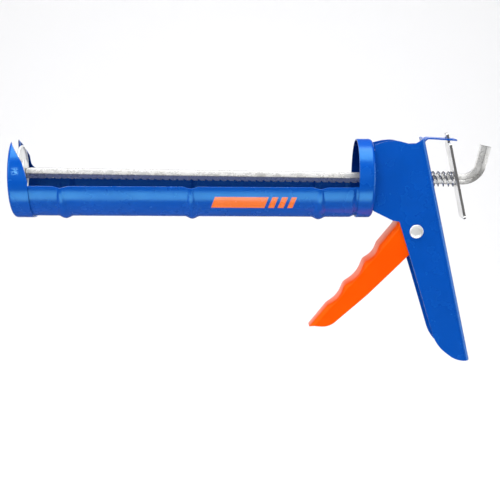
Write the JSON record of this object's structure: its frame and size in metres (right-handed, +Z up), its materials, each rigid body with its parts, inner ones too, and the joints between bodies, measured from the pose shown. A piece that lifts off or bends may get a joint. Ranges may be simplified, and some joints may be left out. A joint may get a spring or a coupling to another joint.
{
  "type": "caulking gun",
  "caption": "Half-barrel caulking gun with a toothed hex rod, pressed channel handle, grooved trigger and spring-loaded catch plate, for standard sealant cartridges.",
  "frame": {"origin": "on the flat back of the handle, where the palm rests, in the gun's middle plane, 60.9 mm below the barrel axis", "axes": "+X along the barrel axis from the nozzle end towards the rod's hook, +Y to the user's right, +Z up; the nozzle points to -X"},
  "size_m": [0.3292, 0.0564, 0.1589],
  "materials": {
    "blue_paint": "satin-gloss royal blue enamel on pressed steel",
    "orange_paint": "satin orange enamel on pressed steel",
    "zinc_plate": "bright zinc plated steel",
    "bright_steel": "bright nickel-like plated drawn bar and strip",
    "spring_steel": "zinc plated spring wire"
  },
  "bodies": {
    "frame": {"cradle": "blue_paint", "front_cap": "blue_paint", "rear_collar": "blue_paint", "handle": "blue_paint", "front_bracket": "zinc_plate", "collar_rivet_1": "zinc_plate", "collar_rivet_2": "zinc_plate", "collar_rivet_3": "zinc_plate", "collar_rivet_4": "zinc_plate", "pivot_rivet": "zinc_plate", "pivot_bush": "zinc_plate", "trigger_spring": "spring_steel", "catch_spring": "spring_steel"},
    "plunger": {"plunger_disc": "zinc_plate", "plunger_washer": "zinc_plate"},
    "rod": {"rod": "bright_steel"},
    "trigger": {"trigger": "orange_paint", "pawl_pin": "zinc_plate", "pawl_spacer": "zinc_plate", "pawl_spring": "spring_steel"},
    "pawl": {"drive_pawl": "zinc_plate"},
    "catch_plate": {"catch_plate": "bright_steel"}
  },
  "joints": [
    {"name": "rod_slide", "type": "slide", "parent": "frame", "child": "plunger", "axis": [1, 0, -0.0094], "range_m": [-0.002, 0.224]},
    {"name": "rod_turn", "type": "hinge", "parent": "plunger", "child": "rod", "pos_m": [-0.29389, 0, 0.06337], "axis": [1, 0, -0.0094], "continuous": true},
    {"name": "trigger_squeeze", "type": "hinge", "parent": "frame", "child": "trigger", "pos_m": [-0.0253, 0, 0.0258], "axis": [0, -1, 0], "range_deg": [0, 30], "stiffness_Nm_per_rad": 0.15, "springref_deg": -34.38, "deforming": ["trigger_spring"]},
    {"name": "pawl_swing", "type": "hinge", "parent": "trigger", "child": "pawl", "pos_m": [-0.01961, 0, 0.04705], "axis": [0, -1, 0], "range_deg": [-30, 0]},
    {"name": "catch_plate_tilt", "type": "hinge", "parent": "frame", "child": "catch_plate", "pos_m": [-0.00395, 0, 0.0883], "axis": [0, 1, 0], "range_deg": [0, 10], "stiffness_Nm_per_rad": 0.05, "springref_deg": -17.19, "deforming": ["catch_spring"]}
  ],
  "couplings": [
    {"joint": "pawl_swing", "follows": "trigger_squeeze", "ratio": -1}
  ]
}
